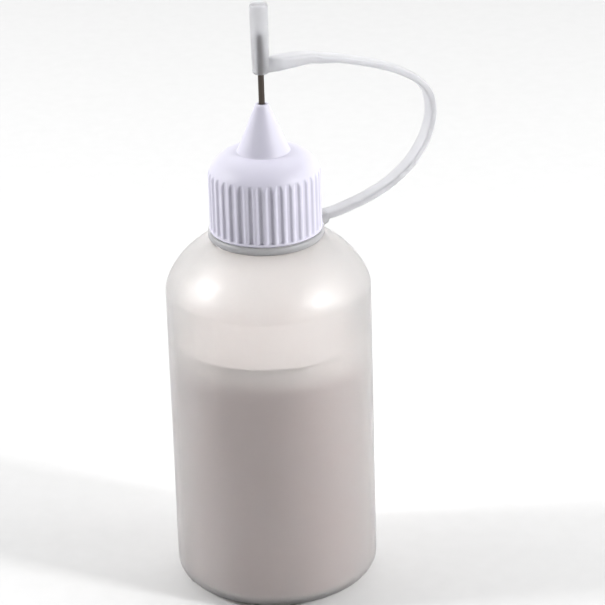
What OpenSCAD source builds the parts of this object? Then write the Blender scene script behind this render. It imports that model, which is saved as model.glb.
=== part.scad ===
// Glue applicator bottle: a squeeze bottle with a screw-on needle nozzle and a tethered dust cap.
// Millimetres, +Z up. The origin is the centre of the base, on the surface the bottle stands on.

/* [Bottle] */
// Outside diameter of the straight wall
bottle_d = 31; // [28:0.5:34]
// Height at which the straight wall ends and the shoulder starts
wall_top_z = 47.8; // [42:0.2:58]
// Height of the shoulder
shoulder_h = 7.9; // [6:0.1:10]
// Roundness of the shoulder, from 1 for a straight slope to 2 for an ellipse
shoulder_n = 1.5; // [1.3:0.1:2]
// Thickness of the blown wall
wall_t = 0.95; // [0.7:0.05:1.3]
// Outside rounding between wall and base
base_corner_r = 3; // [2.5:0.1:4]
// Height of the hollow under the base
push_up_h = 0.9; // [0.4:0.1:1.2]
// Level of the glue above the base
glue_level_z = 40; // [12:1:42]

/* [Neck and thread] */
// Outside diameter of the neck between the threads
neck_d = 11.4; // [11:0.1:11.8]
// Outside diameter over the neck's thread
thread_d = 13; // [12.6:0.1:13.2]
// Bore of the neck
neck_bore_d = 8.4; // [8:0.1:8.8]
// Height of the neck above the land at the top of the shoulder
neck_h = 10.3; // [9.8:0.1:10.5]
// Rise of the thread in one turn
thread_pitch = 2.117; // [2:0.001:2.3]
// Turns of thread on the neck
neck_turns = 2.25; // [1.5:0.25:2.5]
// Turns of thread inside the cap
cap_turns = 2; // [1:0.25:2]

/* [Nozzle cap] */
// Outside diameter over the grip ribs
cap_d = 16.9; // [16.6:0.1:17.2]
// Number of grip ribs
rib_count = 36; // [24:4:40]
// How far each rib stands out of the skirt
rib_h = 0.3; // [0.2:0.05:0.4]
// Height of the skirt, from its rim to the dome
skirt_h = 8.5; // [7.5:0.1:9]
// Height of the dome
dome_h = 3.7; // [3.2:0.1:4.5]
// Roundness of the dome
dome_n = 1.8; // [1.3:0.1:2.2]
// Diameter of the cone at its foot
cone_d = 7.8; // [7:0.1:9]
// Height of the cone
cone_h = 7.3; // [6.5:0.1:9]
// Diameter of the cone at its tip
cone_tip_d = 2.1; // [1.8:0.1:2.6]

/* [Needle] */
// Outside diameter of the steel needle
needle_od = 0.91; // [0.8:0.01:1.1]
// Bore of the needle
needle_id = 0.6; // [0.4:0.05:0.65]
// Length of needle standing out of the cone
needle_out = 10.5; // [9:0.1:11]
// Length of needle held inside the cone
needle_in = 3.9; // [3:0.1:4.2]

/* [Needle cap] */
// Height of the cap's open end above the cone's tip
cap_gap = 4.8; // [3:0.1:6]
// Overall length of the needle cap
needle_cap_len = 10.7; // [10:0.1:12]
// Outside diameter at its closed end
needle_cap_top_d = 2.7; // [2.5:0.1:3]
// Outside diameter at its open end
needle_cap_low_d = 2.4; // [2.3:0.1:2.6]
// Bore of the needle cap
needle_cap_bore_d = 1.3; // [1.25:0.05:1.5]
// Depth of its bore
needle_cap_bore_len = 6.6; // [6.2:0.1:7.5]

/* [Tether] */
// Outside diameter of the ring
ring_od = 17.4; // [17.2:0.1:17.6]
// Inside diameter of the ring
ring_id = 13.8; // [13.6:0.1:14]
// Thickness of the ring
ring_t = 1.1; // [0.9:0.05:1.15]
// Width of the strap
strap_w = 2.5; // [2:0.1:3]
// Thickness of the strap
strap_t = 1.1; // [0.9:0.05:1.2]
// Angle round the bottle at which the strap leaves the ring
strap_angle = 24; // [0:1:60]

/* [Hidden] */
$fn = 96;
eps = 0.01;

bottle_r = bottle_d / 2;
neck_r = neck_d / 2;
thread_r = thread_d / 2;
neck_bore_r = neck_bore_d / 2;
land_z = wall_top_z + shoulder_h + 0.3;   // flat on which the tether's ring lies
land_r = 7.6;
shoulder_end_r = 7.85;
shoulder_end_z = wall_top_z + shoulder_h;
neck_top_z = land_z + neck_h;
foot_in_r = 10;                            // flat ring on which the bottle stands
foot_out_r = bottle_r - base_corner_r;
inner_r = bottle_r - wall_t;
inner_corner_r = base_corner_r - wall_t;
glue_gap = 0.05;

ring_clear = 0.1;                          // above and below the ring
cap_rim_z = land_z + ring_clear + ring_t + ring_clear;
dome_z = cap_rim_z + skirt_h;
cone_z = dome_z + dome_h;
cone_top_z = cone_z + cone_h;
cap_r = cap_d / 2;
skirt_r = cap_r - rib_h;
cavity_r = thread_r + 0.4;
cavity_top_z = neck_top_z + 0.1;
rim_h = 0.4;                               // plain band below the ribs
plug_r = neck_bore_r - 0.05;               // sealing ring inside the neck
plug_t = 0.85;
plug_len = 3.6;
needle_low_z = cone_top_z - needle_in;
needle_tip_z = cone_top_z + needle_out;
needle_press = 0.01;

thread_steps = 24;                         // per turn
fade_steps = 3;
thread_z = land_z + 3.3;                   // middle of the ridge where the neck's thread starts
cap_thread_z = thread_z - thread_pitch / 2;  // half a pitch out of step with the neck's
cap_thread_crest_r = thread_r - 0.45;

needle_cap_z = cone_top_z + cap_gap;
needle_cap_top_z = needle_cap_z + needle_cap_len;
strap_top_z = needle_cap_z + 1.1;          // middle of the strap where it joins the needle cap
web_end_r = 2.9;
lug_in_r = ring_od / 2 - 1.2;
lug_out_r = 9.9;
lug_w = 3.1;
strap_root_z = land_z + 1.35;              // middle of the strap where it leaves the lug
strap_gap = 0.05;

// The strap's route in its own upright plane: distance from the bottle's axis, and height above
// the point where it leaves the ring.
strap_rise = strap_top_z - strap_root_z;
strap_route = [
    [lug_out_r - 0.3, 0], [12, 0.3], [14, 0.8], [16, 1.3], [18, 2], [20, 2.9], [22, 4.1],
    [24, 5.7], [25.7, 7.8], [27, 10.2], [27.7, 13], [27.5, 15.6], [26.6, 17.6], [25, 19.2],
    [23, 20.5], [21, 21.5], [18.8, 22.4], [16.5, 23.2], [14.2, 23.9], [12, 24.5], [9.7, 24.9],
    [7.6, strap_rise], [5.4, strap_rise], [web_end_r + strap_gap, strap_rise]
];
strap_steps = 3;                           // rings in each stretch between two points

// Points of a circular arc in a profile.
function arc(c, r, a0, a1, steps = 8) =
    [for (i = [0:steps]) let (a = a0 + (a1 - a0) * i / steps) [c[0] + r * cos(a), c[1] + r * sin(a)]];

// Points of a quarter superellipse, from the wide low end to the narrow high end.
function shoulder_curve(r0, z0, r1, z1, n, steps = 14) =
    [for (i = [0:steps]) let (a = 90 * i / steps)
        [r1 + (r0 - r1) * pow(cos(a), 2 / n), z0 + (z1 - z0) * pow(sin(a), 2 / n)]];

// Height at which such a curve has come in to radius r.
function shoulder_height(r, r0, z0, r1, z1, n) =
    z0 + (z1 - z0) * pow(sin(acos(pow((r - r1) / (r0 - r1), n / 2))), 2 / n);

// A closed body from rings of points, each ring turning counter-clockwise about the way of travel.
module sweep(rings) {
    n = len(rings[0]);
    last = len(rings) - 1;
    points = [for (ring = rings) for (p = ring) p];
    sides = [for (i = [0:last - 1]) for (j = [0:n - 1])
        let (a = i * n + j, b = i * n + (j + 1) % n) [[a, a + n, b + n], [a, b + n, b]]];
    faces = concat(
        [for (pair = sides) for (t = pair) t],
        [[for (j = [0:n - 1]) j]],
        [[for (j = [n - 1:-1:0]) last * n + j]]);
    polyhedron(points, faces);
}

// A thread ridge: a trapezoid carried up a helix, which fades out at both ends.
module thread_ridge(root_r, crest_r, z0, turns, root_w = 1.1, crest_w = 0.5) {
    steps = round(turns * thread_steps);
    outward = crest_r > root_r;
    sweep([for (i = [0:steps])
        let (
            a = 360 * i / thread_steps,
            z = z0 + thread_pitch * i / thread_steps,
            full = max(0.25, min(1, i / fade_steps, (steps - i) / fade_steps)),
            r = root_r + (crest_r - root_r) * full,
            low = [[root_r, -root_w / 2], [r, -crest_w / 2]],
            high = [[r, crest_w / 2], [root_r, root_w / 2]],
            section = outward ? [low[0], high[1], high[0], low[1]] : [low[0], low[1], high[0], high[1]]
        )
        [for (p = section) [p[0] * cos(a), p[0] * sin(a), z + p[1]]]]);
}

module bottle() {
    outside = concat(
        [[0, push_up_h], [foot_in_r - 4, push_up_h], [foot_in_r - 1.2, push_up_h * 0.7],
         [foot_in_r, 0], [foot_out_r, 0]],
        arc([foot_out_r, base_corner_r], base_corner_r, -80, 0),
        shoulder_curve(bottle_r, wall_top_z, shoulder_end_r, shoulder_end_z, shoulder_n),
        [[land_r, land_z], [neck_r + 0.3, land_z], [neck_r, land_z + 0.3],
         [neck_r, neck_top_z - 0.3], [neck_r - 0.3, neck_top_z]]);
    inside = concat(
        [[neck_bore_r + 0.3, neck_top_z], [neck_bore_r, neck_top_z - 0.3],
         [neck_bore_r, land_z - 0.2]],
        [for (i = [14:-1:0]) shoulder_curve(inner_r, wall_top_z, neck_bore_r + 0.3,
            shoulder_end_z - wall_t, shoulder_n)[i]],
        arc([inner_r - inner_corner_r, wall_t + inner_corner_r], inner_corner_r, 0, -90),
        [[foot_in_r, wall_t], [foot_in_r - 1.2, wall_t + push_up_h * 0.7],
         [foot_in_r - 4, wall_t + push_up_h], [0, wall_t + push_up_h]]);
    color([0.93, 0.92, 0.91, 0.8]) union() {
        rotate_extrude() polygon(concat(outside, inside));
        thread_ridge(neck_r - 0.15, thread_r, thread_z, neck_turns);
    }
}

module glue_fill() {
    r = inner_r - glue_gap;
    corner_r = inner_corner_r - glue_gap;
    low_z = wall_t + glue_gap;
    color([0.72, 0.68, 0.66]) rotate_extrude() polygon(concat(
        [[0, low_z + push_up_h], [foot_in_r - 4, low_z + push_up_h],
         [foot_in_r - 1.2, low_z + push_up_h * 0.7], [foot_in_r, low_z]],
        arc([r - corner_r, low_z + corner_r], corner_r, -90, 0),
        [[r, glue_level_z + 0.5], [r - 0.6, glue_level_z + 0.1], [r - 1.5, glue_level_z],
         [0, glue_level_z]]));
}

// The dome's curve, from the tops of the ribs to the foot of the cone.
dome = shoulder_curve(cap_r - 0.05, dome_z, cone_d / 2 + 0.1, cone_z, dome_n);
groove_top_z = shoulder_height(skirt_r, cap_r - 0.05, dome_z, cone_d / 2 + 0.1, cone_z, dome_n);

// Grip ribs: upright half-round bars, whose tops run out in the dome.
module grip_ribs() {
    rib_r = 0.42;
    low_z = cap_rim_z + rim_h - eps;
    intersection() {
        union() for (i = [0:rib_count - 1])
            rotate([0, 0, 360 * i / rib_count])
                translate([cap_r - rib_r, 0, low_z])
                    cylinder(r = rib_r, h = groove_top_z - low_z, $fn = 24);
        rotate_extrude() polygon(concat(
            [[skirt_r - 1, low_z], [cap_r, low_z]],
            [for (p = dome) if (p[0] > skirt_r) p],
            [[skirt_r, groove_top_z], [skirt_r - 1, groove_top_z - 0.4]]));
    }
}

module nozzle_cap() {
    path_r = plug_r - plug_t;
    body = concat(
        [[cavity_r + 0.3, cap_rim_z], [cap_r - 0.1, cap_rim_z], [cap_r + 0.05, cap_rim_z + 0.15],
         [cap_r + 0.05, cap_rim_z + rim_h - 0.15], [cap_r - 0.1, cap_rim_z + rim_h],
         [skirt_r + 0.05, cap_rim_z + rim_h], [skirt_r, groove_top_z]],
        [for (p = dome) if (p[0] < skirt_r) p],
        [[cone_d / 2, cone_z + 0.1], [cone_tip_d / 2, cone_top_z - 0.1],
         [cone_tip_d / 2 - 0.1, cone_top_z],
         [needle_od / 2 - needle_press, cone_top_z],
         [needle_od / 2 - needle_press, needle_low_z + 0.4],
         [needle_od / 2 + 0.5, needle_low_z + 0.4],
         [path_r - 0.1, cone_z - 1.3], [path_r, cavity_top_z - plug_len],
         [plug_r - 0.3, cavity_top_z - plug_len], [plug_r, cavity_top_z - plug_len + 0.4],
         [plug_r, cavity_top_z], [cavity_r, cavity_top_z], [cavity_r, cap_rim_z + 0.3]]);
    color([0.90, 0.89, 0.94]) union() {
        rotate_extrude() polygon(body);
        grip_ribs();
        thread_ridge(cavity_r + 0.15, cap_thread_crest_r, cap_thread_z, cap_turns);
    }
}

module needle() {
    edge = 0.05;
    od_r = needle_od / 2;
    id_r = needle_id / 2;
    color([0.35, 0.32, 0.31]) rotate_extrude() polygon([
        [id_r, needle_low_z], [od_r, needle_low_z], [od_r, needle_tip_z - edge],
        [od_r - edge, needle_tip_z], [id_r, needle_tip_z]]);
}

module tether_ring() {
    low_z = land_z + ring_clear;
    high_z = low_z + ring_t;
    soft = 0.25;
    step_r = cap_r + 0.35;                 // the lug's step stands clear of the cap's skirt
    top_z = strap_root_z + strap_t / 2 + 0.05;
    color([0.86, 0.86, 0.87, 0.8]) union() {
        rotate_extrude() polygon([
            [ring_id / 2 + soft, low_z], [ring_od / 2 - soft, low_z], [ring_od / 2, low_z + soft],
            [ring_od / 2, high_z - soft], [ring_od / 2 - soft, high_z],
            [ring_id / 2 + soft, high_z], [ring_id / 2, high_z - soft], [ring_id / 2, low_z + soft]]);
        rotate([90, 0, strap_angle]) linear_extrude(lug_w, center = true) polygon([
            [lug_in_r, low_z + 0.1], [lug_out_r - 0.9, low_z + 0.1], [lug_out_r - 0.3, low_z + 0.35],
            [lug_out_r, low_z + 0.75], [lug_out_r, top_z - 0.1], [lug_out_r - 0.1, top_z],
            [step_r + 0.1, top_z], [step_r, top_z - 0.1], [step_r, high_z - 0.1],
            [lug_in_r, high_z - 0.1]]);
    }
}

// The point between q[1] and q[2] of a smooth curve through four points.
function between(q, u) = 0.5 * (2 * q[1] + (q[2] - q[0]) * u
    + (2 * q[0] - 5 * q[1] + 4 * q[2] - q[3]) * u * u
    + (3 * q[1] - q[0] - 3 * q[2] + q[3]) * u * u * u);

function route_point(i) = strap_route[max(0, min(len(strap_route) - 1, i))];

module tether_strap() {
    last = len(strap_route) - 1;
    line = concat(
        [for (i = [0:last - 1]) for (k = [0:strap_steps - 1])
            between([for (j = [-1:2]) route_point(i + j)], k / strap_steps)],
        [strap_route[last]]);
    count = len(line) - 1;
    sides = 12;
    soft = 0.45;                           // power that rounds the section's corners
    rings = [for (i = [0:count])
        let (
            d = line[min(i + 1, count)] - line[max(i - 1, 0)],
            t = d / norm(d),
            c = line[i])
        [for (j = [0:sides - 1])
            let (
                a = 360 * j / sides + 15,
                u = strap_t / 2 * sign(cos(a)) * pow(abs(cos(a)), soft),
                v = strap_w / 2 * sign(sin(a)) * pow(abs(sin(a)), soft),
                r = c[0] + u * t[1],
                z = strap_root_z + c[1] - u * t[0])
            [r * cos(strap_angle) - v * sin(strap_angle), r * sin(strap_angle) + v * cos(strap_angle), z]]];
    color([0.86, 0.86, 0.87, 0.8]) sweep(rings);
}

module needle_cap() {
    low_r = needle_cap_low_d / 2;
    top_r = needle_cap_top_d / 2;
    bore_r = needle_cap_bore_d / 2;
    bore_top_z = needle_cap_z + needle_cap_bore_len;
    half_t = strap_t / 2;
    color([0.86, 0.86, 0.87, 0.8]) difference() {
        union() {
            rotate_extrude() polygon(concat(
                [[0, needle_cap_z], [low_r - 0.15, needle_cap_z], [low_r, needle_cap_z + 0.15],
                 [top_r - 0.05, needle_cap_z + 4]],
                arc([top_r - 0.35, needle_cap_top_z - 0.35], 0.35, 0, 80, 4),
                [[0, needle_cap_top_z]]));
            rotate([90, 0, strap_angle]) linear_extrude(strap_w - 0.5, center = true) polygon([
                [0, needle_cap_z + 0.1], [low_r - 0.1, needle_cap_z + 0.1],
                [low_r + 0.5, strap_top_z - half_t - 0.2], [web_end_r, strap_top_z - half_t],
                [web_end_r, strap_top_z + half_t], [low_r + 0.6, strap_top_z + half_t + 0.2],
                [low_r, strap_top_z + half_t + 0.7], [0, strap_top_z + half_t + 0.7]]);
        }
        translate([0, 0, needle_cap_z - 1]) cylinder(r = bore_r, h = needle_cap_bore_len + 1);
        translate([0, 0, bore_top_z - eps]) cylinder(r1 = bore_r, r2 = bore_r - 0.35, h = 0.2);
        translate([0, 0, needle_cap_z - eps]) cylinder(r1 = bore_r + 0.2, r2 = bore_r, h = 0.4);
    }
}

bottle();
glue_fill();
nozzle_cap();
needle();
tether_ring();
tether_strap();
needle_cap();
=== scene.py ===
import math
import bpy
import numpy as np
from mathutils import Matrix, Vector


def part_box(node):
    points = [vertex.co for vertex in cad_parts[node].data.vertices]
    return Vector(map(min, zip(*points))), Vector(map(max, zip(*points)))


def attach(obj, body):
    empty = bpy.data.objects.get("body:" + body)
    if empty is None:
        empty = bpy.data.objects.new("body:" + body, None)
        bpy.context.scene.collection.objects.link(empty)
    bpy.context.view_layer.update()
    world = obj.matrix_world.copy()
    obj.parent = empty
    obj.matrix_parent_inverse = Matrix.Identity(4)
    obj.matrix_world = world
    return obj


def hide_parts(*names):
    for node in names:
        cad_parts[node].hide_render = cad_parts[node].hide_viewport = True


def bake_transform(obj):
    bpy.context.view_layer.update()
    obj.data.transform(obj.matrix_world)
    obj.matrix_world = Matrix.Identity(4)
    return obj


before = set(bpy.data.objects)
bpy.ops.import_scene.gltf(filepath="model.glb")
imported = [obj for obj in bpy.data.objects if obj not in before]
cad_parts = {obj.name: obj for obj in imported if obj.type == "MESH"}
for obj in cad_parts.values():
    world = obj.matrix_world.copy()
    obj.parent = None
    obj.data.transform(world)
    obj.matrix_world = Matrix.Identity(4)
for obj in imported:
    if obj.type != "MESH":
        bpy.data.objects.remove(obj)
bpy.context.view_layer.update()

mm = 0.001
roundTurn = 2 * math.pi
world = bpy.data.worlds.new("studio")
bpy.context.scene.world = world


def nodeSize(name):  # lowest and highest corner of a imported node, in mm
    low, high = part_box(name)
    return np.array(low) / mm, np.array(high) / mm


bottleLow, bottleHigh = nodeSize("bottle")
glueLow, glueHigh = nodeSize("glue_fill")
capLow, capHigh = nodeSize("nozzle_cap")
needleLow, needleHigh = nodeSize("needle")
ringLow, ringHigh = nodeSize("tether_ring")
strapLow = nodeSize("tether_strap")[0]
dustLow, dustHigh = nodeSize("needle_cap")
print("frame loaded, bottle", (bottleHigh - bottleLow).round(2), "mm")


# Camera: above the front, looking down on the floor, a little tilted.
cameraLook = {
    "elevation": 23.904,  # degrees above the floor
    "distance": 461.1,  # mm from the point looked at
    "target": (5.08, 0, 44.66),
    "roll": -1.757,  # degrees, leans the top to the left
    "lens": 181.46,
    "sensor": 36,
}


def placeCamera(look):
    tilt = math.radians(look["elevation"])
    roll = math.radians(look["roll"])
    ahead = Vector((0, math.cos(tilt), -math.sin(tilt)))
    level = Vector((1, 0, 0))
    upright = level.cross(ahead)
    right = level * math.cos(roll) + upright * math.sin(roll)
    up = upright * math.cos(roll) - level * math.sin(roll)
    data = bpy.data.cameras.new("camera")
    data.lens = look["lens"]
    data.sensor_width = look["sensor"]
    data.clip_start = 0.01
    data.clip_end = 20
    camera = bpy.data.objects.new("camera", data)
    turn = Matrix((right, up, -ahead)).transposed().to_4x4()
    eye = (Vector(look["target"]) - ahead * look["distance"]) * mm
    camera.matrix_world = Matrix.Translation(eye) @ turn
    bpy.context.scene.collection.objects.link(camera)
    bpy.context.scene.camera = camera


placeCamera(cameraLook)


# Outlines and surfaces.
def arc(centre, radius, start, end, count=10):
    # centre plus radius times cosine and sine of evenly spaced angles, in degrees
    angle = np.radians(np.linspace(start, end, count))
    return np.stack([centre[0] + radius * np.cos(angle), centre[1] + radius * np.sin(angle)], 1)


def bulge(low, high, power, count=24):
    # quarter superellipse from the wide low end to the narrow high end:
    # both legs run as cosine and sine raised to 2 / power
    angle = np.linspace(0, math.pi / 2, count)
    across = np.cos(angle).clip(0) ** (2 / power)
    upward = np.sin(angle).clip(0) ** (2 / power)
    return np.stack([high[0] + (low[0] - high[0]) * across, low[1] + (high[1] - low[1]) * upward], 1)


def softened(outline, reach, steps=4):
    # every corner becomes a quadratic curve from reach before it to reach after it,
    # reach being at most 0.4 of either side; points closer than a micron are joined
    points = np.asarray(outline, float)
    before = np.roll(points, 1, 0)
    after = np.roll(points, -1, 0)
    lengthIn = np.linalg.norm(points - before, axis=1, keepdims=True).clip(1e-9)
    lengthOut = np.linalg.norm(after - points, axis=1, keepdims=True).clip(1e-9)
    start = points + (before - points) * np.minimum(reach / lengthIn, 0.4)
    end = points + (after - points) * np.minimum(reach / lengthOut, 0.4)
    start[0], end[0] = points[0], points[0]
    start[-1], end[-1] = points[-1], points[-1]
    u = np.linspace(0, 1, steps + 1)[None, :, None]
    curve = (1 - u) ** 2 * start[:, None] + 2 * u * (1 - u) * points[:, None] + u ** 2 * end[:, None]
    curve = curve.reshape(-1, 2)
    gap = np.linalg.norm(np.diff(curve, axis=0), axis=1)
    return curve[np.concatenate([[True], gap > 1e-3])]


def spaced(outline, step):
    # the same outline with extra points, so that no side is longer than step
    points = np.asarray(outline, float)
    gap = np.linalg.norm(np.diff(points, axis=0), axis=1)
    parts = np.maximum(np.ceil(gap / step).astype(int), 1)
    index = np.repeat(np.arange(len(parts)), parts)
    first = np.repeat(np.cumsum(parts) - parts, parts)
    share = (np.arange(len(index)) - first) / parts[index]
    middle = points[index] + (points[index + 1] - points[index]) * share[:, None]
    return np.vstack([middle, points[-1:]])


def angles(count):
    return np.linspace(0, roundTurn, count, endpoint=False)[None, :]


def turned(radius, height, angle):
    # a profile turned about the upright axis: radius times cosine, radius times sine, height
    radius, height, angle = np.broadcast_arrays(radius, height, angle)
    return np.stack([radius * np.cos(angle), radius * np.sin(angle), height], -1)


def gridMesh(name, points, loop=False, material=None):
    # Points are rows by columns in mm. Columns run round and close. Rows close on themselves with
    # loop, and otherwise both ends close in a fan about the mean of the end row.
    rows, columns = points.shape[:2]
    index = np.arange(rows * columns).reshape(rows, columns)
    lower = index if loop else index[:-1]
    upper = np.roll(index, -1, 0) if loop else index[1:]
    quads = np.stack([lower, np.roll(lower, -1, 1), np.roll(upper, -1, 1), upper], -1)
    vertices = points.reshape(-1, 3)
    faces = quads.reshape(-1, 4).tolist()
    if not loop:
        poles = np.stack([points[0].mean(0), points[-1].mean(0)])
        vertices = np.vstack([vertices, poles])
        first = np.full(columns, rows * columns)
        faces += np.stack([first, np.roll(index[0], -1), index[0]], -1).tolist()
        faces += np.stack([first + 1, index[-1], np.roll(index[-1], -1)], -1).tolist()
    mesh = bpy.data.meshes.new(name)
    mesh.from_pydata((vertices * mm).tolist(), [], faces)
    mesh.polygons.foreach_set("use_smooth", np.ones(len(mesh.polygons), bool))
    mesh.update()
    piece = bpy.data.objects.new(name, mesh)
    bpy.context.scene.collection.objects.link(piece)
    if material is not None:
        mesh.materials.append(material)
    return piece


def smoothStep(value, start, end):
    share = np.clip((value - start) / (end - start), 0, 1)
    return share * share * (3 - 2 * share)


def threadRidge(height, angle, thread, start, turns):
    # How far a helical ridge stands out, from 0 to 1, at a height and an angle. Each turn's middle
    # rises one pitch a turn from start. The ridge is 1 within half its crest's width of the middle,
    # falls to 0 at half its root's width, and fades over an eighth of a turn at both ends.
    ridge = np.zeros(np.broadcast(height, angle).shape)
    for lap in range(math.ceil(turns)):
        travelled = angle / roundTurn + lap
        off = np.abs(height - start - thread["pitch"] * travelled)
        flank = (thread["rootWidth"] - thread["crestWidth"]) / 2
        stand = np.clip((thread["rootWidth"] / 2 - off) / flank, 0, 1)
        fade = np.clip(np.minimum(travelled, turns - travelled) * 8, 0, 1)
        ridge = np.maximum(ridge, stand * fade)
    return ridge


# Materials.
def toLinear(code):
    # sRGB hex to the linear colour that the shaders work in
    value = np.array([int(code[i:i + 2], 16) for i in (1, 3, 5)]) / 255
    linear = np.where(value <= 0.04045, value / 12.92, ((value + 0.055) / 1.055) ** 2.4)
    return (*linear.tolist(), 1.0)


def addNode(tree, kind, settings=None, **inputs):
    # adds one node; settings are its own properties, inputs are plain values or links by socket name
    new = tree.nodes.new("ShaderNode" + kind)
    for key, value in (settings or {}).items():
        setattr(new, key, value)
    for key, value in inputs.items():
        socket = new.inputs[int(key[1:])] if key[0] == "_" else new.inputs[key.replace("_", " ")]
        if isinstance(value, bpy.types.NodeSocket):
            tree.links.new(value, socket)
        else:
            socket.default_value = value
    return new


def startMaterial(name):
    material = bpy.data.materials.new(name)
    material.use_nodes = True
    material.node_tree.nodes.clear()
    return material, material.node_tree


def finishMaterial(tree, shader):
    addNode(tree, "OutputMaterial", Surface=shader.outputs[0])


def perMetre(sizeInMm):  # texture scale whose pattern repeats about once in that size
    return 1 / (sizeInMm * mm)


# Natural low-density polyethylene, extrusion-blown: milky and waxy, so light glows through the empty
# part and what is inside shows soft, with faint upright die lines from the extruded tube.
bottleFinish = {
    "pale": "#FFFDFC",
    "dull": "#FAF5F3",
    "cloudSize": 9,  # mm, slow change of milkiness
    "dieLine": 0.9,  # mm between die lines, coarser than the real 0.3 so that they show
    "dieLineLength": 60,
    "dieLineDepth": 0.06,
    "grain": 0.35,  # mm, orange-peel of the blow mould
    "grainDepth": 0.012,
    "transmission": 0.9,  # the rest is thrown back by the milk in the wall
    "roughness": 0.42,
    "roughnessSpread": 0.05,
    "scatter": 1.5,  # mm that light travels in the wall
    "skin": 0.12,  # weight and roughness of the waxy skin that carries the highlights
    "skinRoughness": 0.2,
}


def bottlePlastic(finish):
    material, tree = startMaterial("naturalLdpeBlown")
    place = addNode(tree, "TexCoord")
    drawn = addNode(
        tree, "Mapping", Vector=place.outputs["Object"],
        Scale=(1, 1, finish["dieLine"] / finish["dieLineLength"]))
    cloud = addNode(
        tree, "TexNoise", Vector=place.outputs["Object"], Scale=perMetre(finish["cloudSize"]), Detail=2.0)
    lines = addNode(
        tree, "TexNoise", Vector=drawn.outputs[0], Scale=perMetre(finish["dieLine"]), Detail=1.0)
    grain = addNode(
        tree, "TexNoise", Vector=place.outputs["Object"], Scale=perMetre(finish["grain"]), Detail=1.0)
    tint = addNode(
        tree, "Mix", {"data_type": "RGBA"}, Factor=cloud.outputs[0],
        _6=toLinear(finish["dull"]), _7=toLinear(finish["pale"]))
    gloss = addNode(
        tree, "MapRange", Value=cloud.outputs[0], To_Min=finish["roughness"] - finish["roughnessSpread"],
        To_Max=finish["roughness"] + finish["roughnessSpread"])
    ripple = addNode(
        tree, "Bump", Height=lines.outputs[0], Strength=0.25, Distance=finish["dieLineDepth"] * mm)
    peel = addNode(
        tree, "Bump", Height=grain.outputs[0], Strength=0.3, Distance=finish["grainDepth"] * mm,
        Normal=ripple.outputs[0])
    shader = addNode(
        tree, "BsdfPrincipled", Base_Color=tint.outputs[2], Roughness=gloss.outputs[0], IOR=1.51,
        Transmission_Weight=finish["transmission"], Subsurface_Weight=1.0,
        Subsurface_Radius=(1, 0.97, 0.94), Subsurface_Scale=finish["scatter"] * mm,
        Coat_Weight=finish["skin"], Coat_Roughness=finish["skinRoughness"], Normal=peel.outputs[0])
    finishMaterial(tree, shader)
    return material


# White PVA glue, poured: an opaque milk that takes the wall's tint. Its top few mm are painted lighter
# towards the level, painted light standing in for light through the empty part above, so its edge is soft.
glueFinish = {
    "body": "#BBABA8",
    "paintedLight": "#F7F3F1",
    "paintedLightHeight": 5,  # mm below the level over which the painted light fades out
    "cloudSize": 7,
    "veil": 0.04,  # how far the cloud moves the mix of body and painted light
    "roughness": 0.35,
}


def glueMilk(finish, level):
    material, tree = startMaterial("whitePvaGlue")
    place = addNode(tree, "TexCoord")
    parts = addNode(tree, "SeparateXYZ", Vector=place.outputs["Object"])
    # painted light: the glue turns lighter over its top few mm up to the level, standing in for light
    # through the empty part above
    paintedLight = addNode(
        tree, "MapRange", {"interpolation_type": "SMOOTHERSTEP"}, Value=parts.outputs[2],
        From_Min=(level - finish["paintedLightHeight"]) * mm, From_Max=level * mm)
    cloud = addNode(
        tree, "TexNoise", Vector=place.outputs["Object"], Scale=perMetre(finish["cloudSize"]), Detail=3.0)
    veil = addNode(
        tree, "MapRange", Value=cloud.outputs[0], From_Min=0.3, From_Max=0.7,
        To_Min=-finish["veil"], To_Max=finish["veil"])
    share = addNode(
        tree, "Math", {"operation": "ADD", "use_clamp": True}, _0=paintedLight.outputs[0], _1=veil.outputs[0])
    tint = addNode(
        tree, "Mix", {"data_type": "RGBA"}, Factor=share.outputs[0],
        _6=toLinear(finish["body"]), _7=toLinear(finish["paintedLight"]))
    shader = addNode(
        tree, "BsdfPrincipled", Base_Color=tint.outputs[2], Roughness=finish["roughness"], IOR=1.46)
    finishMaterial(tree, shader)
    return material


# White polypropylene, injection-moulded in a finely blasted mould: a cool white with a soft gloss.
capFinish = {
    "pale": "#C6C4D1",
    "dull": "#BCBAC8",
    "cloudSize": 4,
    "grain": 0.16,  # mm, blasted mould, coarser than the real 0.05 so that it shows
    "grainDepth": 0.01,
    "roughness": 0.5,
    "roughnessSpread": 0.06,
    "scatterWeight": 0.15,
}


def capPlastic(finish):
    material, tree = startMaterial("whitePpMoulded")
    place = addNode(tree, "TexCoord")
    cloud = addNode(
        tree, "TexNoise", Vector=place.outputs["Object"], Scale=perMetre(finish["cloudSize"]), Detail=2.0)
    grain = addNode(
        tree, "TexNoise", Vector=place.outputs["Object"], Scale=perMetre(finish["grain"]), Detail=2.0)
    tint = addNode(
        tree, "Mix", {"data_type": "RGBA"}, Factor=cloud.outputs[0],
        _6=toLinear(finish["dull"]), _7=toLinear(finish["pale"]))
    gloss = addNode(
        tree, "MapRange", Value=grain.outputs[0], To_Min=finish["roughness"] - finish["roughnessSpread"],
        To_Max=finish["roughness"] + finish["roughnessSpread"])
    blast = addNode(
        tree, "Bump", Height=grain.outputs[0], Strength=0.25, Distance=finish["grainDepth"] * mm)
    shader = addNode(
        tree, "BsdfPrincipled", Base_Color=tint.outputs[2], Roughness=gloss.outputs[0], IOR=1.49,
        Subsurface_Weight=finish["scatterWeight"], Subsurface_Radius=(0.8, 0.7, 0.9), Subsurface_Scale=mm,
        Normal=blast.outputs[0])
    finishMaterial(tree, shader)
    return material


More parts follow.
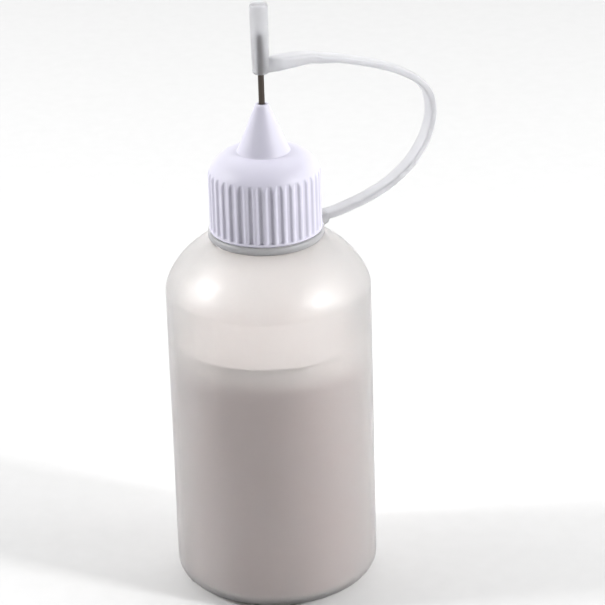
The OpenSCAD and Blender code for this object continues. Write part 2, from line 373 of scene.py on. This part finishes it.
# Drawn 304 stainless tube: fine lines along its length from the die, and a slightly browned tone.
needleFinish = {
    "bright": "#5E5650",
    "dark": "#37312E",
    "drawLine": 0.12,  # mm between draw lines, coarser than the real 0.01 so that they show
    "drawLength": 12,
    "drawDepth": 0.01,
    "roughness": 0.3,
    "roughnessSpread": 0.1,
}


def needleSteel(finish):
    material, tree = startMaterial("stainlessDrawn")
    place = addNode(tree, "TexCoord")
    drawn = addNode(
        tree, "Mapping", Vector=place.outputs["Object"],
        Scale=(1, 1, finish["drawLine"] / finish["drawLength"]))
    lines = addNode(
        tree, "TexNoise", Vector=drawn.outputs[0], Scale=perMetre(finish["drawLine"]), Detail=2.0)
    tint = addNode(
        tree, "Mix", {"data_type": "RGBA"}, Factor=lines.outputs[0],
        _6=toLinear(finish["dark"]), _7=toLinear(finish["bright"]))
    gloss = addNode(
        tree, "MapRange", Value=lines.outputs[0], To_Min=finish["roughness"] - finish["roughnessSpread"],
        To_Max=finish["roughness"] + finish["roughnessSpread"])
    scratch = addNode(
        tree, "Bump", Height=lines.outputs[0], Strength=0.3, Distance=finish["drawDepth"] * mm)
    shader = addNode(
        tree, "BsdfPrincipled", Base_Color=tint.outputs[2], Roughness=gloss.outputs[0], Metallic=1.0,
        Normal=scratch.outputs[0])
    finishMaterial(tree, shader)
    return material


# Natural low-density polyethylene, injection-moulded: the same milky plastic as the bottle, with a
# satin skin and slow flow marks. The dust cap's wall is thin, so it is clearer and shows the needle.
tetherFinish = {
    "pale": "#DFDFE1",
    "dull": "#CFCFD3",
    "flowSize": 3,  # mm, flow marks
    "grain": 0.2,  # mm, satin of the mould
    "grainDepth": 0.01,
    "transmission": 0.62,
    "scatter": 2,
    "roughness": 0.36,
    "roughnessSpread": 0.03,
}

dustCapFinish = dict(tetherFinish, transmission=0.86, roughness=0.32)


def tetherPlastic(name, finish):
    material, tree = startMaterial(name)
    place = addNode(tree, "TexCoord")
    flow = addNode(
        tree, "TexNoise", Vector=place.outputs["Object"], Scale=perMetre(finish["flowSize"]), Detail=2.0,
        Distortion=0.6)
    grain = addNode(
        tree, "TexNoise", Vector=place.outputs["Object"], Scale=perMetre(finish["grain"]), Detail=1.0)
    tint = addNode(
        tree, "Mix", {"data_type": "RGBA"}, Factor=flow.outputs[0],
        _6=toLinear(finish["dull"]), _7=toLinear(finish["pale"]))
    gloss = addNode(
        tree, "MapRange", Value=grain.outputs[0], To_Min=finish["roughness"] - finish["roughnessSpread"],
        To_Max=finish["roughness"] + finish["roughnessSpread"])
    skin = addNode(
        tree, "Bump", Height=grain.outputs[0], Strength=0.3, Distance=finish["grainDepth"] * mm)
    shader = addNode(
        tree, "BsdfPrincipled", Base_Color=tint.outputs[2], Roughness=gloss.outputs[0], IOR=1.51,
        Transmission_Weight=finish["transmission"], Subsurface_Weight=1.0,
        Subsurface_Radius=(0.96, 0.98, 1), Subsurface_Scale=finish["scatter"] * mm, Normal=skin.outputs[0])
    finishMaterial(tree, shader)
    return material


bottleMaterial = bottlePlastic(bottleFinish)
glueMaterial = glueMilk(glueFinish, glueHigh[2] - 0.5)
capMaterial = capPlastic(capFinish)
needleMaterial = needleSteel(needleFinish)
tetherMaterial = tetherPlastic("naturalLdpeMoulded", tetherFinish)
dustCapMaterial = tetherPlastic("naturalLdpeThinWall", dustCapFinish)
print("materials made")


# Bottle: one blown wall with its neck, thread, hollow base and parting line.
thread = {"pitch": 2.117, "rootWidth": 1.1, "crestWidth": 0.5, "neckTurns": 2.25, "capTurns": 2}

bottle = {
    "columns": 256,
    "shoulderFoot": 18.5,  # mm below the neck's top
    "landBelowTop": 10.3,
    "landRadius": 7.6,
    "shoulderTopRadius": 7.85,
    "shoulderPower": 1.5,
    "neckRadius": 5.7,
    "boreRadius": 4.2,
    "threadRadius": 6.5,
    "threadAboveLand": 3.3,
    "threadRowStep": 0.13,  # mm between rows of points on the thread
    "wall": 0.95,
    "baseCorner": 3,
    "pushUp": 0.9,
    "footRadius": 10,
    "seamAngle": 24,  # degrees, the mould's parting line, also on the far side
    "seamHeight": 0.05,
    "seamWidth": 0.35,
    "baseSeamWidth": 0.6,
    "baseSeamDepth": 0.27,
    "waver": 0.035,  # mm, how far the blown wall wanders inwards
}


def bottleOutline(size):
    radius, top = bottleHigh[0], bottleHigh[2]
    wallTop = top - size["shoulderFoot"]
    land = top - size["landBelowTop"]
    neck, bore, foot = size["neckRadius"], size["boreRadius"], size["footRadius"]
    corner, wall, push = size["baseCorner"], size["wall"], size["pushUp"]
    inner = radius - wall
    shoulderTop = (size["shoulderTopRadius"], land - 0.3)
    outside = np.vstack([
        [(0.4, push), (foot - 4, push), (foot - 1.2, push * 0.7), (foot, 0), (radius - corner, 0)],
        arc((radius - corner, corner), corner, -86, 0, 16),
        bulge((radius, wallTop), shoulderTop, size["shoulderPower"], 26),
        [(size["landRadius"], land), (neck + 0.3, land), (neck, land + 0.3)],
        [(neck, top - 0.3), (neck - 0.3, top)]])
    inside = np.vstack([
        [(bore + 0.3, top), (bore, top - 0.3), (bore, land - 0.2)],
        bulge((inner, wallTop), (bore + 0.3, land - 0.3 - wall), size["shoulderPower"], 12)[::-1],
        arc((inner - corner + wall, corner), corner - wall, 0, -90, 8),
        [(foot, wall), (foot - 1.2, wall + push * 0.7), (foot - 4, wall + push), (0.4, wall + push)]])
    return softened(outside, 0.35, 2), softened(inside, 0.25, 2)


def buildBottle(size):
    outside, inside = bottleOutline(size)
    outside = spaced(outside, 1.2)
    land = bottleHigh[2] - size["landBelowTop"]
    onNeck = (outside[:, 1] > land + 0.5) & (outside[:, 0] < size["neckRadius"] + 0.01)
    below = outside[~onNeck & (np.arange(len(outside)) < np.argmax(onNeck))]
    neck = size["neckRadius"]
    neckRows = spaced([(neck, land + 0.5), (neck, bottleHigh[2] - 0.35)], size["threadRowStep"])
    above = outside[len(outside) - np.argmax(onNeck[::-1]):]
    outside = np.vstack([below, neckRows, above])
    profile = np.vstack([outside, spaced(inside, 1.5)])
    isOutside = (np.arange(len(profile)) < len(outside))[:, None]
    radius, height = profile[:, :1], profile[:, 1:]
    angle = angles(size["columns"])

    # thread: the ridge's share of the way from the neck to the thread's crest
    stand = threadRidge(height, angle, thread, land + size["threadAboveLand"], thread["neckTurns"])
    onNeck = isOutside & (height > land + 0.6) & (radius < size["neckRadius"] + 0.01)
    radius = radius + onNeck * stand * (size["threadRadius"] - size["neckRadius"])

    # waver: three slow sine waves round and up the wall, always inwards, faded out at base and neck
    wander = np.sin(2 * angle + height / 9) + np.sin(5 * angle - height / 14 + 1) + np.sin(3 * angle + 2)
    fade = smoothStep(height, 3, 12) * (1 - smoothStep(height, land - 9, land - 2))
    radius = radius - fade * size["waver"] * (wander / 6 + 0.5)

    # parting line: a low rounded ridge on two opposite sides, and across the base
    seam = math.radians(size["seamAngle"])
    offSeam = np.abs(radius * np.sin(angle - seam))
    ridge = np.clip(1 - offSeam / size["seamWidth"], 0, 1) ** 2
    onWall = isOutside & (height > 2) & (height < land - 0.5)
    radius = radius + onWall * ridge * size["seamHeight"]
    onBase = isOutside & (height > 0.5 * size["pushUp"]) & (height < size["pushUp"] + 0.01)
    height = height - onBase * np.clip(1 - offSeam / size["baseSeamWidth"], 0, 1) * size["baseSeamDepth"]
    return gridMesh("bottle_blown", turned(radius, height, angle), material=bottleMaterial)


bottleShell = buildBottle(bottle)
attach(bottleShell, "bottle")
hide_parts("bottle")
print("bottle made")


# Glue: fills the base and climbs the wall in a meniscus.
glue = {"columns": 160, "climb": 0.5, "climbReach": 1.5, "gap": 0.05}


def buildGlue(size):
    radius, top = glueHigh[0], glueHigh[2]
    level = top - size["climb"]
    low = glueLow[2]
    push, foot = bottle["pushUp"], bottle["footRadius"]
    corner = bottle["baseCorner"] - bottle["wall"] - size["gap"]
    outline = np.vstack([
        [(0.4, low + push), (foot - 4, low + push), (foot - 1.2, low + push * 0.7), (foot, low)],
        arc((radius - corner, low + corner), corner, -90, 0, 8),
        [(radius, top - 0.02)]])
    # meniscus: the climb falls away as the square of the distance left to its reach
    share = np.linspace(0, 1, 10)[1:]
    rise = np.stack([radius - share * size["climbReach"], level + (1 - share) ** 2 * size["climb"]], 1)
    outline = np.vstack([softened(outline, 0.2), rise, [(0.4, level)]])
    profile = spaced(outline, 1.5)
    angle = angles(size["columns"])
    return gridMesh("glue_poured", turned(profile[:, :1], profile[:, 1:], angle), material=glueMaterial)


gluePour = buildGlue(glue)
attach(gluePour, "bottle")
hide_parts("glue_fill")
print("glue made")


# Nozzle cap: ribbed skirt, dome and cone outside; thread, cavity and sealing ring inside.
cap = {
    "ribs": 36,
    "columnsPerRib": 12,
    "ribRadius": 0.42,
    "skirtInset": 0.35,  # from the rim's radius to the grooves
    "filletSharpness": 14,  # higher gives a smaller fillet between rib and groove
    "rimHeight": 0.4,
    "domeAboveRim": 8.5,
    "domeHeight": 3.7,
    "domePower": 1.8,
    "coneFootRadius": 3.9,
    "coneTipRadius": 1.05,
    "coneHeight": 7.3,
    "cavityRadius": 6.9,
    "cavityTop": 9.1,  # above the rim
    "threadCrestRadius": 6.05,
    "threadMiddle": 0.9415,  # above the rim, where the cap's thread starts
    "threadRowStep": 0.18,  # mm between rows of points on the thread
    "plugRadius": 4.15,
    "plugWall": 0.85,
    "plugLength": 3.6,
}


def capEnvelope(size):
    # from the rim's lower edge up to the cone's tip, without the grooves
    rim, tip = capLow[2], capHigh[2]
    wide = capHigh[0]
    dome = rim + size["domeAboveRim"]
    cone = dome + size["domeHeight"]
    edge = [(wide - 0.15, rim), (wide, rim + 0.12), (wide, rim + size["rimHeight"] - 0.1)]
    edge += [(wide - 0.09, rim + size["rimHeight"])]
    rise = bulge((wide - 0.1, dome), (size["coneFootRadius"] + 0.1, cone), size["domePower"], 30)
    spike = [(size["coneFootRadius"] - 0.05, cone + 0.2), (size["coneTipRadius"], tip - 0.12)]
    spike += [(size["coneTipRadius"] - 0.1, tip)]
    return np.vstack([edge, rise, spike])


def buildCap(size):
    rim, tip = capLow[2], capHigh[2]
    hold = needleHigh[0] - 0.02
    path = size["plugRadius"] - size["plugWall"]
    cavityTop = rim + size["cavityTop"]
    cone = tip - size["coneHeight"]
    outside = spaced(softened(capEnvelope(size), 0.3, 2), 0.5)
    inside = softened([
        (hold, tip), (hold, needleLow[2] + 0.4), (hold + 0.5, needleLow[2] + 0.4), (path - 0.1, cone - 1.3),
        (path, cavityTop - size["plugLength"]), (size["plugRadius"] - 0.3, cavityTop - size["plugLength"]),
        (size["plugRadius"], cavityTop - size["plugLength"] + 0.4), (size["plugRadius"], cavityTop),
        (size["cavityRadius"], cavityTop)], 0.1, 2)
    wall = size["cavityRadius"]
    threadRows = spaced([(wall, cavityTop - 0.15), (wall, rim + 0.4)], size["threadRowStep"])
    mouth = [(wall, rim + 0.25), (wall + 0.3, rim)]
    profile = np.vstack([outside, inside, threadRows, mouth])
    row = np.arange(len(profile))[:, None]
    radius, height = profile[:, :1], profile[:, 1:]
    angle = angles(size["ribs"] * size["columnsPerRib"])

    # ribs: half-round bars, each a circle of ribRadius that reaches the envelope, in front of a
    # skirt inset by skirtInset; the two are joined by a soft maximum so that the groove has fillets
    pitch = roundTurn / size["ribs"]
    offRib = (angle + pitch / 2) % pitch - pitch / 2
    centre = capHigh[0] - 0.05 - size["ribRadius"]
    inCircle = np.clip(size["ribRadius"] ** 2 - (centre * np.sin(offRib)) ** 2, 0, None)
    bar = np.where(inCircle > 0, centre * np.cos(offRib) + np.sqrt(inCircle), 0)
    skirt = capHigh[0] - size["skirtInset"] + 0 * angle
    sharpness = size["filletSharpness"]
    ribbed = np.log(np.exp(sharpness * (bar - skirt)) + 1) / sharpness + skirt - 0.02
    grooved = (row < len(outside)) & (height > rim + size["rimHeight"] + 0.02)
    radius = np.where(grooved, np.minimum(radius, ribbed), radius)

    # inner thread: half a pitch out of step with the neck's
    stand = threadRidge(height, angle, thread, rim + size["threadMiddle"], thread["capTurns"])
    threaded = (row >= len(outside) + len(inside)) & (row < len(profile) - 2)
    radius = radius - threaded * stand * (size["cavityRadius"] - size["threadCrestRadius"])
    return gridMesh("nozzle_cap_ribbed", turned(radius, height, angle), loop=True, material=capMaterial)


nozzleCap = buildCap(cap)
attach(nozzleCap, "nozzle")
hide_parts("nozzle_cap")
print("nozzle cap made")


# Needle: a plain tube with its ends broken.
needle = {"columns": 48, "boreRadius": 0.3, "edge": 0.05}


def buildNeedle(size):
    outer, bore, edge = needleHigh[0], size["boreRadius"], size["edge"]
    low, high = needleLow[2], needleHigh[2]
    outside = spaced(
        [(outer - edge, low), (outer, low + edge), (outer, high - edge), (outer - edge, high)], 1)
    inside = spaced(
        [(bore + edge, high), (bore, high - edge), (bore, low + edge), (bore + edge, low)], 2)
    profile = np.vstack([outside, inside])
    points = turned(profile[:, :1], profile[:, 1:], angles(size["columns"]))
    return gridMesh("needle_tube", points, loop=True, material=needleMaterial)


needleTube = buildNeedle(needle)
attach(needleTube, "nozzle")
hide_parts("needle")
print("needle made")


# Tether: ring with its lug, strap, and the dust cap's tube.
ring = {
    "columns": 240,
    "innerRadius": 6.9,
    "outerRadius": 8.7,
    "thickness": 1.1,
    "strapAngle": 24,  # degrees
    "lugWidth": 3.1,
    "lugStep": 8.8,  # radius at which the lug rises beside the cap's skirt
    "lugOut": 9.9,
}


def buildRing(size):
    # two profiles with the same number of points, the plain ring's and the lug's, and a share of
    # the way from one to the other that rises smoothly at the lug's sides
    low, thick = ringLow[2], size["thickness"]
    inner, outer, lug, step = size["innerRadius"], size["outerRadius"], size["lugOut"], size["lugStep"]
    top, high = low + thick, ringHigh[2]
    plain = np.array([
        (inner, low + 0.15), (inner + 0.15, low), (8, low), (outer - 0.5, low), (outer - 0.2, low),
        (outer, low + 0.2), (outer, low + 0.45), (outer, top - 0.45), (outer, top - 0.2),
        (outer - 0.2, top), (outer - 0.3, top), (outer - 0.4, top), (outer - 0.5, top),
        (7.6, top), (inner + 0.15, top), (inner, top - 0.15)])
    lugged = np.array([
        (inner, low + 0.15), (inner + 0.15, low), (8, low), (lug - 0.9, low + 0.1), (lug - 0.4, low + 0.25),
        (lug - 0.1, low + 0.55), (lug, low + 0.8), (lug, high - 0.3), (lug - 0.05, high - 0.1),
        (lug - 0.25, high), (step + 0.2, high), (step, high - 0.15), (step, top + 0.05),
        (step - 0.25, top), (inner + 0.15, top), (inner, top - 0.15)])
    angle = angles(size["columns"])
    across = np.abs(size["lugOut"] * np.sin(angle - math.radians(size["strapAngle"])))
    near = np.cos(angle - math.radians(size["strapAngle"])) > 0
    share = near * (1 - smoothStep(across, size["lugWidth"] / 2 - 0.25, size["lugWidth"] / 2))
    profile = plain[:, None] + (lugged - plain)[:, None] * share[0][None, :, None]
    points = turned(profile[..., 0], profile[..., 1], angle)
    return gridMesh("tether_ring_moulded", points, loop=True, material=tetherMaterial)


tetherRing = buildRing(ring)
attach(tetherRing, "tether")
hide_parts("tether_ring")

strap = {
    "width": 2.5,
    "thickness": 1.1,
    "sides": 40,
    "ringsPerSpan": 6,
    "cornerPower": 0.42,  # 1 gives an ellipse, smaller a squarer section
    "rootThickness": 2.5,  # mm where it joins the dust cap, thinning away from it
    "rootReach": 12,  # mm from the tube's axis over which it thins
    "webReach": 3.4,  # mm from the tube's axis over which it narrows
    "endWidth": 1.24,  # mm at the tube's axis
    "rootAbove": 20,  # mm above the ring, higher than which the strap belongs to its root
    "sectionTurn": 15,  # degrees, keeps a point of the section on each long side
    # distance from the bottle's axis, and height above the point where the strap leaves the ring
    "route": [
        (9.6, 0), (12, 0.3), (14, 0.8), (16, 1.3), (18, 2), (20, 2.9), (22, 4.1), (24, 5.7), (25.7, 7.8),
        (27, 10.2), (27.7, 13), (27.5, 15.6), (26.6, 17.6), (25, 19.2), (23, 20.5), (21, 21.5),
        (18.8, 22.4), (16.5, 23.2), (14.2, 23.9), (12, 24.5), (9.7, 24.9), (7.6, 25.35), (5.4, 25.35),
        (3.4, 25.35), (2.2, 25.35), (1, 25.35)],
}


def smoothRoute(points, steps):
    # Catmull-Rom: each span is the cubic through its two ends with slopes from their neighbours
    route = np.asarray(points, float)
    padded = np.vstack([route[:1], route, route[-1:]])
    a, b, c, d = padded[:-3, None], padded[1:-2, None], padded[2:-1, None], padded[3:, None]
    u = np.linspace(0, 1, steps, endpoint=False)[None, :, None]
    cubic = (3 * b - a - 3 * c + d) * u ** 3 + (2 * a - 5 * b + 4 * c - d) * u ** 2 + (c - a) * u + 2 * b
    return np.vstack([cubic.reshape(-1, 2) / 2, route[-1:]])


def buildStrap(size):
    # a rounded rectangle carried along the route in its upright plane: half the thickness times the
    # route's normal, plus half the width across the plane, with cosine and sine raised to cornerPower
    line = smoothRoute(size["route"], size["ringsPerSpan"])
    rootHeight = strapLow[2] + size["thickness"] / 2
    tangent = np.gradient(line, axis=0)
    tangent /= np.linalg.norm(tangent, axis=1, keepdims=True)
    normal = np.stack([tangent[:, 1], -tangent[:, 0]], 1)
    around = angles(size["sides"]) + math.radians(size["sectionTurn"])
    thick = np.sign(np.cos(around)) * np.abs(np.cos(around)) ** size["cornerPower"]
    wide = np.sign(np.sin(around)) * np.abs(np.sin(around)) ** size["cornerPower"]
    # root: towards the tube the section grows taller in proportion, and last narrower
    onTop = line[:, 1:] > size["rootAbove"]
    grown = onTop * np.clip(1 - line[:, :1] / size["rootReach"], 0, 1)
    near = (onTop * (1 - smoothStep(line[:, :1], 1, size["webReach"]))) ** 1.5
    halfThick = size["thickness"] / 2 + grown * (size["rootThickness"] - size["thickness"]) / 2
    halfWide = size["width"] / 2 - near * (size["width"] - size["endWidth"]) / 2
    out = line[:, :1] + normal[:, :1] * halfThick * thick
    up = rootHeight + line[:, 1:] + normal[:, 1:] * halfThick * thick
    side = halfWide * wide
    plane = math.radians(ring["strapAngle"])
    x = out * math.cos(plane) - side * math.sin(plane)
    y = out * math.sin(plane) + side * math.cos(plane)
    piece = gridMesh("tether_strap_moulded", np.stack([x, y, up], -1), material=tetherMaterial)
    return piece, line, rootHeight


tetherStrap, strapLine, strapRoot = buildStrap(strap)
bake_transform(tetherStrap)
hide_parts("tether_strap")

dustCap = {"columns": 72, "lowRadius": 1.2, "topRadius": 1.35, "boreRadius": 0.65, "boreDepth": 6.6}


def buildDustCap(size):
    low, high = dustLow[2], dustHigh[2]
    bore, boreTop = size["boreRadius"], dustLow[2] + size["boreDepth"]
    inside = [(0.05, boreTop + 0.18), (bore - 0.3, boreTop + 0.15)]
    inside += [(bore, boreTop - 0.15), (bore, low + 0.35)]
    mouth = [(bore + 0.2, low), (size["lowRadius"] - 0.1, low), (size["lowRadius"], low + 0.12)]
    wall = [(size["topRadius"] - 0.05, low + 4), (size["topRadius"], high - 0.5)]
    crown = arc((size["topRadius"] - 0.4, high - 0.4), 0.4, 10, 90, 8)
    outline = np.vstack([inside, mouth, wall, crown, [(0.05, high)]])
    profile = spaced(softened(outline, 0.1), 0.5)
    points = turned(profile[:, :1], profile[:, 1:], angles(size["columns"]))
    return gridMesh("dust_cap_tube", points, material=dustCapMaterial)


dustTube = buildDustCap(dustCap)
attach(dustTube, "dust_cap")
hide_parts("needle_cap")
print("tether made")


# Studio: pale floor, a small and a wide lamp at each side, one overhead, and a room that is bright
# ahead of the camera and dark behind it. The wide lamps fill the shade and aren't mirrored.
studio = {
    "floor": "#D0D0D0",
    "fibre": "#CBCBCB",  # darker tone of the paper's fibres
    "roomAhead": 1.75,  # brightness of the room behind the object
    "roomBehind": 0.02,  # and behind the camera
    "roomFade": (-0.5, 0.8),  # from dark to bright, as the forward part of a direction's unit length
    "floorReach": 4,  # m from the middle to each edge
    "fibreSize": 3,
    "lamps": {  # azimuth and elevation in degrees, distance and size in mm, power in watts
        "left": {"azimuth": -178, "elevation": 33, "distance": 700, "size": (130, 70), "power": 3.1,
                 "mirrored": True},
        "right": {"azimuth": -26, "elevation": 28, "distance": 700, "size": (100, 50), "power": 3.7,
                  "mirrored": True},
        "leftSoft": {"azimuth": 170, "elevation": 22, "distance": 700, "size": (300, 400), "power": 1.6,
                     "mirrored": False},
        "rightSoft": {"azimuth": -4, "elevation": 22, "distance": 700, "size": (300, 400), "power": 2.2,
                      "mirrored": False},
        "top": {"azimuth": -90, "elevation": 80, "distance": 900, "size": (500, 300), "power": 0.1,
                "mirrored": True},
    },
    "aim": (0, 0, 50),
}


def buildStudio(look):
    material, tree = startMaterial("paperSweep")
    place = addNode(tree, "TexCoord")
    fibre = addNode(
        tree, "TexNoise", Vector=place.outputs["Object"], Scale=perMetre(look["fibreSize"]), Detail=3.0)
    tint = addNode(
        tree, "Mix", {"data_type": "RGBA"}, Factor=fibre.outputs[0],
        _6=toLinear(look["fibre"]), _7=toLinear(look["floor"]))
    finishMaterial(tree, addNode(tree, "BsdfPrincipled", Base_Color=tint.outputs[2], Roughness=0.9))
    corners = np.array([(-1, -1, 0), (1, -1, 0), (1, 1, 0), (-1, 1, 0)]) * look["floorReach"]
    mesh = bpy.data.meshes.new("floor")
    mesh.from_pydata(corners.tolist(), [], [(0, 1, 2, 3)])
    mesh.materials.append(material)
    floor = bpy.data.objects.new("floor", mesh)
    bpy.context.scene.collection.objects.link(floor)
    world.use_nodes = True
    tree = world.node_tree
    way = addNode(tree, "SeparateXYZ", Vector=addNode(tree, "TexCoord").outputs["Generated"])
    dark, bright = look["roomFade"]
    glow = addNode(
        tree, "MapRange", {"interpolation_type": "SMOOTHSTEP"}, Value=way.outputs[1],
        From_Min=dark, From_Max=bright, To_Min=look["roomBehind"], To_Max=look["roomAhead"])
    tree.links.new(glow.outputs[0], tree.nodes["Background"].inputs["Strength"])
    tree.nodes["Background"].inputs["Color"].default_value = (1, 1, 1, 1)
    aim = Vector(look["aim"]) * mm
    for name, lamp in look["lamps"].items():
        around, upward = math.radians(lamp["azimuth"]), math.radians(lamp["elevation"])
        level = math.cos(upward)
        way = Vector((math.cos(around) * level, math.sin(around) * level, math.sin(upward)))
        data = bpy.data.lights.new(name, "AREA")
        data.shape = "RECTANGLE"
        data.size, data.size_y = lamp["size"][0] * mm, lamp["size"][1] * mm
        data.energy = lamp["power"]
        light = bpy.data.objects.new(name, data)
        light.location = aim + way * lamp["distance"] * mm
        light.rotation_euler = way.to_track_quat("Z", "Y").to_euler()
        light.visible_glossy = lamp["mirrored"]
        bpy.context.scene.collection.objects.link(light)


buildStudio(studio)
bpy.context.scene.view_settings.view_transform = "Standard"
bpy.context.scene.cycles.use_denoising = True
print("studio made")
